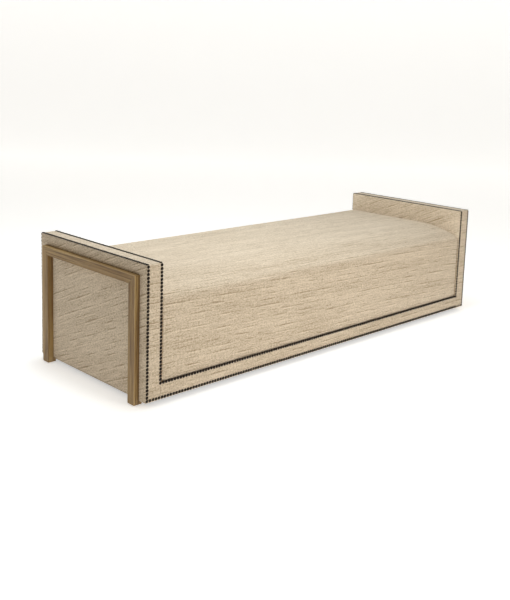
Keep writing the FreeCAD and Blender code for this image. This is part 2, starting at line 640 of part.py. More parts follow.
def crowned(name, inset, low, length):
    """Seat section padded along X: flat top, long fall to a rolled front edge, small roll at the back."""
    body = doc.addObject("PartDesign::Body", name)
    sketch = body.newObject("Sketcher::SketchObject", name + "_section")
    plane = next(feature for feature in body.Origin.OriginFeatures if feature.Role == "YZ_Plane")
    sketch.AttachmentSupport = (plane, [""])
    sketch.MapMode = "FlatFace"
    top = f"(seat_height - {inset})"
    bend = f"(crown_radius - {inset})"
    fall_start = f"({FRONT} + crown_start)"
    fall = f"(crown_start - {inset})"
    front_top = f"({top} - {bend} + sqrt({bend} * {bend} - {fall} * {fall}))"
    corners = [
        (f"{FRONT} + {inset}", low),
        (f"{BACK} - {inset}", low),
        (f"{BACK} - {inset}", top),
        (fall_start, top),
        (f"{FRONT} + {inset}", front_top),
    ]
    points = [FreeCAD.Vector(value(across), value(up), 0) for across, up in corners]
    for first, second in ((0, 1), (1, 2), (2, 3)):
        sketch.addGeometry(Part.LineSegment(points[first], points[second]))
    centre = FreeCAD.Vector(points[3].x, points[3].y - value(bend), 0)
    start = math.atan2(points[3].y - centre.y, points[3].x - centre.x)
    finish = math.atan2(points[4].y - centre.y, points[4].x - centre.x)
    circle = Part.Circle(centre, FreeCAD.Vector(0, 0, 1), value(bend))
    sketch.addGeometry(Part.ArcOfCircle(circle, start, finish))
    sketch.addGeometry(Part.LineSegment(points[4], points[0]))
    joints = ((0, 2, 1, 1), (1, 2, 2, 1), (2, 2, 3, 1), (3, 2, 4, 1), (4, 2, 0, 1))
    for joint in joints:
        sketch.addConstraint(Sketcher.Constraint("Coincident", *joint))
    vertices = ((0, 1), (1, 1), (2, 1), (3, 1), (4, 1))
    for (line, end), pair in zip(vertices, corners):
        for kind, text in zip(("DistanceX", "DistanceY"), pair):
            number = sketch.addConstraint(Sketcher.Constraint(kind, -1, 1, line, end, value(text)))
            sketch.setExpression(f"Constraints[{number}]", sized(text))
    number = sketch.addConstraint(Sketcher.Constraint("Radius", 3, value(bend)))
    sketch.setExpression(f"Constraints[{number}]", sized(bend))
    solid = pad(body, sketch, length)
    for corner, radius in ((corners[4], "front_roll_radius"), (corners[2], "back_roll_radius")):
        y, z = value(corner[0]), value(corner[1])
        names = edges_where(solid, lambda edge, middle: math.hypot(middle.y - y, middle.z - z) < 0.01)
        solid = rounded(body, solid, names, f"{radius} - {inset}")
    place(body, f"-({length}) / 2", "0", "0")
    return body


def seat_upholstery():
    """Foam on the hessian, wadding over the foam and the face boards, and one cover over all three faces."""
    length = f"2 * {SEAT_END}"
    longer = f"2 * {SEAT_END} + 2"
    piece(crowned("foam_block", SKIN, HESSIAN_TOP, length), "seat_foam")
    wadding = cut("wadding_cut", crowned("wadding_whole", "cover_thickness", CLOTH_TOP, length),
                  [crowned("wadding_space", SKIN, f"{CLOTH_TOP} - 1", longer)])
    piece(wadding, "seat_wadding")
    cover = cut("cover_cut", crowned("cover_whole", "0", BAND_TOP, length),
                [crowned("cover_space", "cover_thickness", f"{BAND_TOP} - 1", longer)])
    piece(cover, "seat_cover")


def bands_and_dust_cover():
    """Fabric bands along the bottom of the front and back, and the cloth under everything."""
    reach = f"({OUTER} - end_thickness + {NAIL_INSET})"
    faces = (("front", (FRONT, f"{FRONT} + cover_thickness")), ("back", (f"{BACK} - cover_thickness", BACK)))
    for side, y in faces:
        piece(block(f"{side}_band_strip", (f"-{reach}", reach), y, (LOW, BAND_TOP)), f"{side}_bottom_band")
    level = (LOW, CLOTH_TOP)
    seat = block("seat_dust", (f"-{SEAT_END}", SEAT_END), inside("cover_thickness"), level)
    cloths = [seat]
    for end in ENDS:
        cloths.append(end.slab("dust", (RECESS, "end_thickness - cover_thickness"), inside(SKIN), level))
    piece(group("dust_cloths", cloths), "dust_cover")


# ---- fasteners and glides ----

def turned(end, parts, y, z):
    """Solid of revolution along X made of cylinders (radius, low depth, high depth)."""
    shapes = []
    for radius, low, high in parts:
        x = [value(text) for text in end.x(low, high)]
        start = FreeCAD.Vector(x[0], value(y), value(z))
        shapes.append(Part.makeCylinder(value(radius), x[1] - x[0], start, FreeCAD.Vector(1, 0, 0)))
    return shapes


def fasteners():
    """Bolts, washers, tee nuts, frame screws, dowels and floor glides."""
    bolts, washers, nuts, screws, dowels, glides = [], [], [], [], [], []
    rail_inside = "end_thickness + seat_gap + seat_rail_thickness"
    under_head = f"{rail_inside} + washer_thickness"
    head_end = f"{under_head} + bolt_head_height"
    for end in ENDS:
        for y, z in bolt_places():
            shank, head = turned(end, (("bolt_radius", RECESS, under_head),
                                       ("bolt_head_radius", under_head, head_end)), y, z)
            bolts.append(shank.fuse(head))
            disc, hole = turned(end, (("washer_radius", rail_inside, under_head),
                                      ("bolt_radius + bore_clearance", rail_inside, under_head)), y, z)
            washers.append(disc.cut(hole))
            flange, barrel, hole = turned(end, (
                ("nut_flange_radius", RECESS, FLANGE_END),
                ("nut_barrel_radius", RECESS, NUT_END),
                ("bolt_radius + bore_clearance / 4", RECESS, NUT_END)), y, z)
            nuts.append(flange.fuse(barrel).cut(hole))
        posts, rail = frame_screw_places(end)
        for y, z in posts + rail:
            shank, head = turned(end, (("screw_radius", f"{RECESS} - screw_bite", CORE_INNER),
                                       ("screw_head_radius", UNDER_SCREW_HEAD, CORE_INNER)), y, z)
            screws.append(shank.fuse(head))
        middle = sum(value(text) for text in end.x("-frame_proud", RECESS)) / 2
        for sign in (-1, 1):
            dowels += dowels_at(end, sign, value("dowel_radius"), value("dowel_length"))
            y = sign * value("body_depth / 2 - frame_inset - leg_width / 2")
            glides.append(Part.makeCylinder(value("glide_radius"), value("glide_thickness"),
                                            FreeCAD.Vector(middle, y, 0)))
    for label, shapes in (("end_bolts", bolts), ("bolt_washers", washers), ("tee_nuts", nuts),
                          ("frame_screws", screws), ("mitre_dowels", dowels), ("floor_glides", glides)):
        solids(label, shapes)


ENDS = (End("left"), End("right"))
for end in ENDS:
    wooden_frame(end)
    core(end)
    boards(end)
    soft_layers(end)
    end_nails(end)
seat_rails()
corner_blocks()
springs_and_clips()
seat_upholstery()
bands_and_dust_cover()
band_nails("front_band_nails", FRONT, -1)
band_nails("back_band_nails", BACK, 1)
fasteners()

doc.recompute()
for thing in doc.Objects:
    if "Invalid" in thing.State or "Error" in thing.State:
        raise RuntimeError(f"{thing.Name} failed: {thing.State}")
for thing in pieces:
    if thing.Shape.isNull() or not thing.Shape.isValid():
        raise RuntimeError(f"{thing.Label} has no valid shape")

os.makedirs("parts", exist_ok=True)
for thing in pieces:
    thing.Shape.exportStep(f"parts/{thing.Label}.step")
print(len(pieces), "sub-parts")
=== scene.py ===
"""Upholstered daybed: a long seat between two upholstered end boards, each with a wooden leg frame on its
outer face, and rows of bronze nails along every edge. Everything is in metres, with the origin on the floor
under the middle."""
import json
import math

import bmesh
import bpy
import numpy as np
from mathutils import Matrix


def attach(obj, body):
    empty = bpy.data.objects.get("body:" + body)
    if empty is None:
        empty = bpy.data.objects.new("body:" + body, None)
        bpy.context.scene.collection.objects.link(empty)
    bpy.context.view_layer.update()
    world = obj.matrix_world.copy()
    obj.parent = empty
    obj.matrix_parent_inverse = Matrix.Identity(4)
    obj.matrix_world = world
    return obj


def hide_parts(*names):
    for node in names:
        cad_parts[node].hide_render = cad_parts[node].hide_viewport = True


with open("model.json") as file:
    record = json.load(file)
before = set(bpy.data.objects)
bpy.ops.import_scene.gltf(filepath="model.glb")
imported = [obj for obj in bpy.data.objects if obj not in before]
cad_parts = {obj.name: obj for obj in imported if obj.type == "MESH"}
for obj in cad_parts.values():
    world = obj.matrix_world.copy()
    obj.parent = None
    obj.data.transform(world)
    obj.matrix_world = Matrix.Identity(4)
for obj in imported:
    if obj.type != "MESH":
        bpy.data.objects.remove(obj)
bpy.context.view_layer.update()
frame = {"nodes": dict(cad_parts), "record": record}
nodes = frame["nodes"]


# ---- the studio: a pale floor that curves up into a wall, soft lamps, and the camera ----
# The floor and wall are one sweep of painted board, matt and almost white. One large soft lamp hangs over the
# daybed, one stands in front of it, a smaller one lights the right board, and the room's light fills the rest.

def finished(name, points, faces, smooth=True):
    """New object from rows of corner points and rows of corner numbers."""
    mesh = bpy.data.meshes.new(name)
    mesh.from_pydata(points.reshape(-1, 3).tolist(), [], faces.tolist())
    mesh.polygons.foreach_set("use_smooth", np.full(len(mesh.polygons), smooth))
    made = bpy.data.objects.new(name, mesh)
    bpy.context.scene.collection.objects.link(made)
    return made


def grid_faces(rows, columns, first=0):
    """Four-cornered faces of a grid of points numbered row by row: each point with the next ones in its row
    and column."""
    corner = first + np.arange(rows - 1)[:, None] * columns + np.arange(columns - 1)[None, :]
    return np.stack([corner, corner + 1, corner + columns + 1, corner + columns], axis=-1).reshape(-1, 4)


class Reading:
    """A number that a node gives; sums, differences and products on it add Math nodes."""

    def __init__(self, finish, socket):
        self.finish, self.socket = finish, socket

    def math(self, operation, *values):
        return self.finish.node("Math", {"operation": operation}, dict(enumerate(values)))

    def __add__(self, other):
        return self.math("ADD", self, other)

    def __sub__(self, other):
        return self.math("SUBTRACT", self, other)

    def __rsub__(self, other):
        return self.math("SUBTRACT", other, self)

    def __mul__(self, other):
        return self.math("MULTIPLY", self, other)

    __radd__ = __add__
    __rmul__ = __mul__


class Finish:
    """A material in the making: its nodes, and the shader that they feed."""

    def __init__(self, name, roughness, metallic=0.0):
        self.material = bpy.data.materials.new(name)
        self.material.use_nodes = True
        self.tree = self.material.node_tree
        self.shader = self.tree.nodes["Principled BSDF"]
        self.shader.inputs["Roughness"].default_value = roughness
        self.shader.inputs["Metallic"].default_value = metallic

    def node(self, kind, settings, inputs, output=0):
        """One node: its settings first, then the values or links of its sockets."""
        made = self.tree.nodes.new("ShaderNode" + kind)
        for key, value in settings.items():
            setattr(made, key, value)
        for key, value in inputs.items():
            if isinstance(value, Reading):
                self.tree.links.new(value.socket, made.inputs[key])
            else:
                made.inputs[key].default_value = value
        return Reading(self, made.outputs[output])

    def noise(self, place, stretch, detail=2.0, rough=0.5):
        """Soft noise from 0 to 1, with features one over the stretch long in each direction."""
        scaled = self.node("VectorMath", {"operation": "MULTIPLY"}, {0: place, 1: stretch})
        return self.node("TexNoise", {},
                         {"Vector": scaled, "Scale": 1.0, "Detail": detail, "Roughness": rough})

    def step(self, value, low, high, start=0.0, end=1.0):
        """Smooth change from start to end while the value goes from low to high."""
        return self.node("MapRange", {"interpolation_type": "SMOOTHSTEP"},
                         {"Value": value, "From Min": low, "From Max": high, "To Min": start, "To Max": end})

    def part(self, vector, axis):
        """One of a vector's three numbers."""
        return self.node("SeparateXYZ", {}, {0: vector}, axis)

    def sine(self, value):
        return self.node("Math", {"operation": "SINE"}, {0: value})

    def size(self, value):
        """The value without its sign."""
        return self.node("Math", {"operation": "ABSOLUTE"}, {0: value})

    def blend(self, share, first, second):
        """Colour between two others."""
        return self.node("Mix", {"data_type": "RGBA"}, {0: share, 6: first, 7: second}, 2)

    def feed(self, **sockets):
        """Links readings to the shader, with height as a bump that is depth metres deep."""
        height, depth = sockets.pop("height", None), sockets.pop("depth", 0.001)
        if height is not None:
            bump = self.node("Bump", {}, {"Strength": 1.0, "Distance": depth, "Height": height})
            self.tree.links.new(bump.socket, self.shader.inputs["Normal"])
        for name, value in sockets.items():
            self.tree.links.new(value.socket, self.shader.inputs[name.replace("_", " ")])
        return self.material


def paint(srgb):
    """Linear colour of three screen values from 0 to 255."""
    share = np.array(srgb) / 255
    return (*np.where(share <= 0.04045, share / 12.92, ((share + 0.055) / 1.055) ** 2.4).tolist(), 1)


def painted_board():
    """Matt white paint with the faint unevenness of a roller."""
    finish = Finish("painted_board", 0.9)
    place = finish.node("TexCoord", {}, {}, "Object")
    mottle = finish.noise(place, (3, 3, 3))
    finish.shader.inputs["Specular IOR Level"].default_value = 0.1
    finish.shader.inputs["Emission Color"].default_value = (1, 1, 1, 1)
    finish.shader.inputs["Emission Strength"].default_value = 0.5
    return finish.feed(Base_Color=finish.blend(mottle, paint((246, 246, 245)), paint((250, 250, 249))))


floor_start, floor_end, wall_top, wall_radius, half_width = -9.0, 7, 9.0, 2.5, 16
turn = np.linspace(0, math.pi / 2, 13)
run = np.concatenate([[floor_start], floor_end + wall_radius * np.sin(turn), [floor_end + wall_radius]])
rise = np.concatenate([[0.0], wall_radius - wall_radius * np.cos(turn), [wall_top]])
ahead, aside = np.meshgrid(run, np.linspace(-half_width, half_width, 3), indexing="ij")
toward = math.radians(45)
sweep = np.stack([ahead * math.cos(toward) - aside * math.sin(toward),
                  ahead * math.sin(toward) + aside * math.cos(toward),
                  np.broadcast_to(rise[:, None], ahead.shape)], axis=-1)
floor = finished("studio_floor", sweep, grid_faces(*sweep.shape[:2])[:, ::-1])
floor.data.materials.append(painted_board())


def lamp(name, place, target, size, power, tint):
    """Square soft lamp at a place, turned to face a target."""
    light = bpy.data.lights.new(name, "AREA")
    light.shape, light.size, light.energy, light.color = "SQUARE", size, power, tint
    made = bpy.data.objects.new(name, light)
    made.location = place
    away = np.array(place) - np.array(target)
    made.rotation_euler = (math.acos(away[2] / np.linalg.norm(away)), 0,
                           math.atan2(away[1], away[0]) + math.pi / 2)
    bpy.context.scene.collection.objects.link(made)


lamp("overhead_lamp", (-0.3, 0.2, 2.5), (-0.1, 0.1, 0.3), 1.8, 34, (0.82, 0.93, 1.0))
lamp("far_end_lamp", (-0.8, -0.2, 1.9), (1.0, 0.0, 0.45), 0.8, 11, (0.95, 0.96, 1.0))
lamp("front_lamp", (-0.2, -2.6, 1.7), (-0.15, 0.0, 0.3), 1.4, 22, (1.0, 0.95, 0.88))

room = bpy.data.worlds.new("room")
room.use_nodes = True
room.node_tree.nodes["Background"].inputs["Color"].default_value = (1.0, 0.935, 0.82, 1)
room.node_tree.nodes["Background"].inputs["Strength"].default_value = 0.315
bpy.context.scene.world = room
bpy.context.scene.view_settings.view_transform = "Standard"

view = bpy.data.cameras.new("camera")
view.sensor_width, view.lens = 36, 51.87
view.shift_x, view.shift_y = -0.0344, -0.1660
camera = bpy.data.objects.new("camera", view)
camera.location = (-2.925, -2.857, 1.297)
camera.rotation_euler = [math.radians(angle) for angle in (80.951, -2.007, -45.010)]
bpy.context.scene.collection.objects.link(camera)
bpy.context.scene.camera = camera


# ---- the wooden frames ----
# Each end stands on a frame of solid oak, oiled light brown: two legs and a top rail, mitred and dowelled,
# with eased edges. The CAD pieces have this shape, and get grain along their length.

def oak(name, along):
    """Oak with its grain along one axis: broad tones, growth lines and dark pores, each a noise stretched that
    way. The long outer corners are lighter, partly as wear and partly as a painted highlight where light catches
    the arris: a point is on one where its distance from the middle is within a few millimetres of the frame's, in
    two directions."""
    finish = Finish(name, 0.5)
    place = finish.node("TexCoord", {}, {}, "Object")

    def stretched(length, width):
        stretch = [1 / width] * 3
        stretch[along] = 1 / length
        return tuple(stretch)

    tone = finish.noise(place, stretched(0.7, 0.035), 3)
    rings = finish.noise(place, stretched(0.28, 0.006), 3, 0.6)
    pores = finish.noise(place, stretched(0.022, 0.0009), 1)
    flecks = finish.step(pores, 0.6, 0.72)
    colour = finish.blend(finish.step(tone, 0.3, 0.7), paint((138, 106, 56)), paint((176, 146, 94)))
    colour = finish.blend(finish.step(rings, 0.42, 0.64, 0.0, 0.85), colour, paint((98, 68, 32)))
    colour = finish.blend(flecks * 0.5, colour, paint((84, 60, 36)))
    outer_corners = (1.0828, 1.0856), (0.3245, 0.3272), (0.5035, 0.5066)
    end_face, side_edge, top_edge = [finish.step(finish.size(finish.part(place, axis)), *reach)
                                     for axis, reach in enumerate(outer_corners)]
    # Painted highlight and wear: the outer corners blend towards pale oak, as light catching the arris and rubbing
    # would make them.
    lightened = end_face * (side_edge + top_edge - side_edge * top_edge)
    colour = finish.blend(lightened * (0.25 + 0.6 * tone), colour, paint((206, 178, 132)))
    return finish.feed(Base_Color=colour, Roughness=0.42 + 0.14 * rings + 0.1 * flecks,
                       height=rings * 0.5 - flecks, depth=0.0004)


upright_oak, level_oak = oak("oak_upright", 2), oak("oak_level", 1)
for name, node in nodes.items():
    if name.endswith("_leg"):
        node.data.materials.clear()
        node.data.materials.append(upright_oak)
    elif name.endswith("_top_rail"):
        node.data.materials.clear()
        node.data.materials.append(level_oak)


# ---- the fabric borders and edges of the end boards ----
# The outer face of each board has a border of linen over thin wadding, round the wooden frame. It turns over
# the edge of the board to the outer row of nails, and a straight strip of linen lies between the two rows.

half_depth, board_low, board_top = 0.3725, 0.021, 0.552
outer_x, band_top = 1.066, 0.086
outer_row, inner_row = 0.0075, 0.0695
nail_inset, nail_pitch = 0.0075, 0.0141
border_width, border_slack, border_depth = 0.045, 0.0001, 0.0055
fold_radius, tuck_radius, corner_radius = 0.0045, 0.0032, 0.006
crown_height, strip_crown, linen_thickness = 0.0012, 0.0006, 0.0012
edge_reach, strip_reach = 0.004, 0.003
strip_start, face_start, inner_start = 3.1, (0.7, 0.4), (1.9, 0.8)


def spaced(start, end):
    """Evenly spaced places of nails from start to end."""
    return np.linspace(start, end, max(1, round(abs(end - start) / nail_pitch)) + 1)


def board_nails(side):
    """Feet and directions of the nails of an end board: rows up the front, over the top and down the back."""
    rows = []
    for deep, low in ((outer_row, board_low + nail_inset), (inner_row, band_top)):
        x = side * (outer_x - deep)
        up = spaced(low, board_top - nail_inset)
        over = spaced(-half_depth + nail_inset, half_depth - nail_inset)
        for sign in (-1, 1):
            feet = np.stack([np.full(len(up), x), np.full(len(up), sign * half_depth), up], 1)
            rows.append((feet, (0, sign, 0)))
        feet = np.stack([np.full(len(over), x), over, np.full(len(over), board_top)], 1)
        rows.append((feet, (0, 0, 1)))
    return rows


def band_nails(sign):
    """Feet and direction of the nails of a bottom band: a row along its lower edge and one along its upper."""
    rows = []
    for end_x, z in ((outer_x - outer_row, board_low + nail_inset), (outer_x - inner_row, band_top)):
        x = spaced(-end_x, end_x)[1:-1]
        feet = np.stack([x, np.full(len(x), sign * half_depth), np.full(len(x), z)], 1)
        rows.append((feet, (0, sign, 0)))
    return rows


def pressed(points, rows, deep=0.0012, wide=0.0062):
    """How far nails press the cloth in: a bell round each nail's foot, as high as the deepest of them."""
    feet = np.concatenate([row for row, _ in rows])
    flat = points.reshape(-1, 3)
    nearest = np.full(len(flat), 1.0)
    nails_at_once = 60
    for some in np.array_split(np.arange(len(feet)), max(1, len(feet) // nails_at_once)):
        gap = flat[:, None, :] - feet[None, some, :]
        nearest = np.minimum(nearest, np.sqrt((gap ** 2).sum(-1)).min(1))
    return (deep * np.exp(-(nearest / wide) ** 2)).reshape(points.shape[:-1])


def round_the_board(depth, step=0.0035):
    """Carries a section up the front edge of a board, over its top and down its back, with mitred corners. The
    point at depth d of the section goes up the front d behind it, along d under the top, and down the back d
    before it."""
    depth = np.asarray(depth)[None, :]
    rise = np.linspace(0, 1, round((board_top - board_low) / step))[:, None]
    level = np.linspace(0, 1, round(2 * half_depth / step))[1:-1, None]
    reach, height = half_depth - depth, board_top - depth
    up = board_low + rise * (height - board_low)
    y = np.concatenate([-reach + 0 * rise, reach * (2 * level - 1), reach + 0 * rise])
    z = np.concatenate([up, height + 0 * level, up[::-1]])
    return y, z


def eased(y, z, radius):
    """Rounds the board's two top corners: squares round the centre of each corner's arc become circles."""
    past_y = np.abs(y) - (half_depth - radius)
    past_z = z - (board_top - radius)
    inside = (past_y > 0) & (past_z > 0)
    size = np.where(inside, np.maximum(past_y, past_z), 0)
    length = np.where(inside, np.hypot(past_y, past_z), 1)
    pull = size / length
    y = np.where(inside, np.sign(y) * (half_depth - radius + past_y * pull), y)
    z = np.where(inside, board_top - radius + past_z * pull, z)
    return y, z


def dimpled(points, from_edge, rows):
    """Pushes points at the board's edge in at the nails, by a share that falls to nothing at the edge's reach."""
    y, z = points[..., 1].copy(), points[..., 2].copy()
    dip = np.clip(1 - from_edge / edge_reach, 0, 1) * pressed(points, rows)
    points[..., 1] -= np.sign(y) * dip * (z < board_top - edge_reach)
    points[..., 2] -= dip * (np.abs(y) < half_depth - edge_reach)


def along_path(*axes):
    """Distance of each point of a path from its first point."""
    return np.concatenate([[0], np.cumsum(np.hypot(*[np.diff(axis) for axis in axes]))])


def lay_cloth(piece, across, along):
    """Gives the piece its cloth coordinates in metres, one pair for each corner: along the slubs and across."""
    corners = np.empty(len(piece.data.loops), np.int32)
    piece.data.loops.foreach_get("vertex_index", corners)
    pairs = np.stack([along.ravel()[corners], across.ravel()[corners]], 1)
    layer = piece.data.uv_layers.new(name="cloth")
    layer.data.foreach_set("uv", pairs.ravel().astype(np.float32))


tilt = math.radians(23)


def lay_aslant(piece, y, z, side, start):
    """Lays cloth in the plane of an end board with its slubs tilted. It is cut from its own place on the bolt,
    which is side times the start, across the slubs and along them."""
    lay_cloth(piece, z * math.cos(tilt) + y * math.sin(tilt) + start[0] * side,
              z * math.sin(tilt) - y * math.cos(tilt) + start[1] * side)


def linen(name, light, dark):
    """Oatmeal linen in plain weave. Threads are half waves across their pitch, and the product of both waves says
    which is on top. Slubs are the crests of a wide wave that wanders, broken up by noise, each with a painted
    highlight next to it, where light would catch the raised yarn. Noise stretched along the threads gives every
    yarn a tone of its own."""
    thread_pitch, slub_pitch, thread_wander = 0.0015, 0.025, 0.001
    finish = Finish(name, 0.85)
    finish.shader.inputs["Sheen Weight"].default_value = 0.25
    finish.shader.inputs["Sheen Roughness"].default_value = 0.5
    finish.shader.inputs["Specular IOR Level"].default_value = 0.25
    cloth = finish.node("UVMap", {"uv_map": "cloth"}, {})
    wander = finish.noise(cloth, (25, 60, 1), 2)
    along = finish.part(cloth, 0)
    across = finish.part(cloth, 1) + (wander - 0.5) * thread_wander
    weft = finish.sine(across * (math.pi / thread_pitch))
    warp = finish.sine(along * (math.pi / thread_pitch))
    over = finish.step(weft * warp, -0.25, 0.25)
    thread = finish.size(weft) * over
    thread = thread + finish.size(warp) * (1 - over) * 0.8

    yarn = finish.noise(cloth, (12, 420, 1), 2)
    cross_yarn = finish.noise(cloth, (420, 20, 1), 2)
    short_slub = finish.noise(cloth, (16, 260, 1), 1)
    patch = finish.noise(cloth, (2, 20, 1), 1)
    speckle = finish.noise(cloth, (110, 170, 1), 3, 0.75)
    drift = finish.noise(cloth, (0.7, 6, 1), 1)
    phase = across * (2 * math.pi / slub_pitch) + drift * 12
    broken = finish.noise(cloth, (8, 40, 1), 2)
    thick = finish.step(finish.sine(phase) + 2.2 * (broken - 0.5), 0.76, 1.35)
    # Painted highlight: a light line next to each slub, where light would catch the raised yarn.
    slub_highlight = finish.step(finish.sine(phase + 1.3) + 2.2 * (broken - 0.5), 0.7, 1.4)
    nub = finish.step(short_slub, 0.60, 0.76)

    shade = 0.6 + 0.7 * (yarn - 0.5) + 0.4 * (cross_yarn - 0.5) + 1.5 * (speckle - 0.5)
    shade = shade - 0.28 * thick + 0.2 * slub_highlight - 0.3 * nub + 0.3 * (patch - 0.5)
    colour = finish.blend(finish.step(shade, 0.0, 1.0), paint(dark), paint(light))
    # Painted shade: the hollows between the threads are darkened, as their own shadow would darken them.
    gap = finish.step(thread, 0.0, 0.55, 0.35, 0.0)
    colour = finish.blend(gap, colour, paint([0.55 * tone for tone in dark]))
    return finish.feed(Base_Color=colour, Roughness=0.92 - 0.1 * thread,
                       height=thread * 0.4 + thick * 0.25 + nub * 0.3, depth=0.0007)


cloth_finish = linen("oatmeal_linen", (232, 215, 191), (147, 124, 90))


def close_ends(piece):
    """Joins points that meet, closes open ends with a face each, and turns faces outwards."""
    together = 1e-5
    shell = bmesh.new()
    shell.from_mesh(piece.data)
    bmesh.ops.remove_doubles(shell, verts=shell.verts, dist=together)
    bmesh.ops.holes_fill(shell, edges=shell.edges, sides=0)
    bmesh.ops.recalc_face_normals(shell, faces=shell.faces)
    shell.to_mesh(piece.data)
    shell.free()


def thickened(piece):
    """Gives a sheet of linen its thickness, inwards from its face."""
    thickness = piece.modifiers.new("thickness", "SOLIDIFY")
    thickness.thickness, thickness.offset = linen_thickness, -1.0


quarter = np.linspace(0, math.pi / 2, 7)
for side, end in ((-1, "left"), (1, "right")):
    rows = board_nails(side)
    # From the outer nails over the board's edge, across the border, into the gap at the wood, and back behind.
    from_face = np.concatenate([np.linspace(outer_row, fold_radius, 3)[:-1], fold_radius * (1 - np.sin(quarter)),
                                np.zeros(11), tuck_radius * (1 - np.cos(quarter)), [border_depth]])
    from_edge = np.concatenate([[0, 0], fold_radius * (1 - np.cos(quarter)),
                                np.linspace(fold_radius, border_width - tuck_radius, 13)[1:-1],
                                border_width - border_slack - tuck_radius + tuck_radius * np.sin(quarter),
                                [border_width - border_slack]])
    share = np.clip((from_edge - fold_radius) / (border_width - fold_radius), 0, 1)
    from_face = from_face + crown_height - crown_height * np.sin(np.pi * share)
    from_face[0] = outer_row
    from_face = np.concatenate([from_face, [border_depth, outer_row]])
    from_edge = np.concatenate([from_edge, [border_depth, border_depth]])
    y, z = eased(*round_the_board(from_edge), corner_radius)
    points = np.stack([np.broadcast_to(side * (outer_x - from_face), y.shape), y, z], -1)
    dimpled(points, from_edge, rows)
    wrapped = np.concatenate([points, points[:, :1]], axis=1)
    border = finished(f"{end}_border_linen", wrapped, grid_faces(*wrapped.shape[:2]))
    flat_y, flat_z = round_the_board(np.append(along_path(from_face, from_edge), 0.1))
    lay_aslant(border, flat_y, flat_z, side, face_start)
    close_ends(border)
    border.data.materials.append(cloth_finish)
    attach(border, "root")
    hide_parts(f"{end}_border_cover")

    between = np.linspace(outer_row, inner_row, 22)
    y, z = round_the_board(0 * between)
    x = np.broadcast_to(side * (outer_x - between), y.shape)
    proud = strip_crown * np.sin(np.pi * (between - outer_row) / (inner_row - outer_row))
    proud = proud - pressed(np.stack([x, y, z], -1), rows)
    y, z = eased(y, z, corner_radius)
    below_top, on_top = z < board_top - strip_reach, np.abs(y) < half_depth - strip_reach
    points = np.stack([x, y + np.sign(y) * proud * below_top, z + proud * on_top], -1)
    strip = finished(f"{end}_edge_linen", points, grid_faces(*y.shape))
    lay_cloth(strip, along_path(y[:, 0], z[:, 0])[:, None] + 0 * x + board_low + strip_start, x)
    strip.data.materials.append(cloth_finish)
    thickened(strip)
    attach(strip, "root")
    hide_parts(f"{end}_edge_band")


# ---- the panels inside the wooden frames ----
# A separate padded panel of linen fills each frame, set back from the wood and tucked in behind it all round.

panel_side, panel_low, panel_top, panel_x = 0.2853, 0.0212, 0.4698, 1.0635
panel_edge, panel_depth, panel_rim, panel_step = 0.003, 0.0115, 0.03, 0.0075
panel_fade, panel_cap = 0.02, 0.002


def soft_panel(name, side):
    """Closed pad in the plane of an end board, with a flat back. Its face stands out by a share of the edge height
    that rises from each side as the square root of a sine."""
    y = np.linspace(-panel_side, panel_side, round(2 * panel_side / panel_step) + 1)
    z = np.linspace(panel_low, panel_top, round((panel_top - panel_low) / panel_step) + 1)
    y, z = np.meshgrid(y, z, indexing="ij")
    share_y = np.clip(np.minimum(y + panel_side, panel_side - y) / panel_rim, 0, 1)
    share_z = np.clip(np.minimum(z - panel_low, panel_top - z) / panel_rim, 0, 1)
    lift = np.sqrt(np.sin(share_y * math.pi / 2) * np.sin(share_z * math.pi / 2))
    face = np.stack([side * (panel_x - panel_edge * (1 - lift)), y, z], -1)
    back = np.stack([np.full(y.shape, side * (panel_x - panel_depth)), y, z], -1)
    rows, columns = y.shape
    rim = np.concatenate([np.arange(columns), np.arange(1, rows) * columns + columns - 1,
                          (rows - 1) * columns + np.arange(columns - 2, -1, -1),
                          np.arange(rows - 2, 0, -1) * columns])
    following = np.roll(rim, -1)
    walls = np.stack([rim, following, following + rows * columns, rim + rows * columns], -1)
    faces = np.concatenate([grid_faces(rows, columns), grid_faces(rows, columns, rows * columns)[:, ::-1], walls])
    return finished(name, np.concatenate([face.reshape(-1, 3), back.reshape(-1, 3)]), faces)


def filled(piece, loose, cap, pressure=4.0, frames=20):
    """Swells a closed pad with Blender's cloth: pressure inside, no weight, and points held where loose is 0. Only
    movement outwards counts, and no point moves more than the cap."""
    count = len(piece.data.vertices)
    start, outwards, moved = np.empty((3, count * 3))
    piece.data.vertices.foreach_get("co", start)
    piece.data.vertex_normals.foreach_get("vector", outwards)
    held = piece.vertex_groups.new(name="held")
    for number, share in enumerate(1 - loose):
        if share > 0:
            held.add([number], float(share), "REPLACE")
    cloth = piece.modifiers.new("cloth", "CLOTH")
    cloth.settings.vertex_group_mass = "held"
    cloth.settings.use_pressure = True
    cloth.settings.uniform_pressure_force = pressure
    cloth.settings.effector_weights.gravity = 0
    cloth.settings.quality = 4
    cloth.settings.tension_stiffness = cloth.settings.compression_stiffness = 25
    cloth.settings.bending_stiffness = 4
    cloth.collision_settings.use_collision = False
    cloth.point_cache.frame_start, cloth.point_cache.frame_end = 1, frames
    for number in range(1, frames + 1):
        bpy.context.scene.frame_set(number)
    seen = piece.evaluated_get(bpy.context.evaluated_depsgraph_get())
    seen.data.vertices.foreach_get("co", moved)
    move, outwards = (moved - start).reshape(-1, 3), outwards.reshape(-1, 3)
    move -= np.minimum((move * outwards).sum(1, keepdims=True), 0) * outwards
    length = np.linalg.norm(move, axis=1, keepdims=True)
    move = move * np.minimum(1, cap * np.tanh(length / cap) / np.maximum(length, 1e-9))
    piece.modifiers.remove(cloth)
    piece.vertex_groups.clear()
    bpy.context.scene.frame_set(1)
    piece.data.vertices.foreach_set("co", start + move.ravel())
    piece.data.update()


def places(piece):
    """Corner points of a piece as rows of three."""
    points = np.empty(len(piece.data.vertices) * 3)
    piece.data.vertices.foreach_get("co", points)
    return points.reshape(-1, 3)


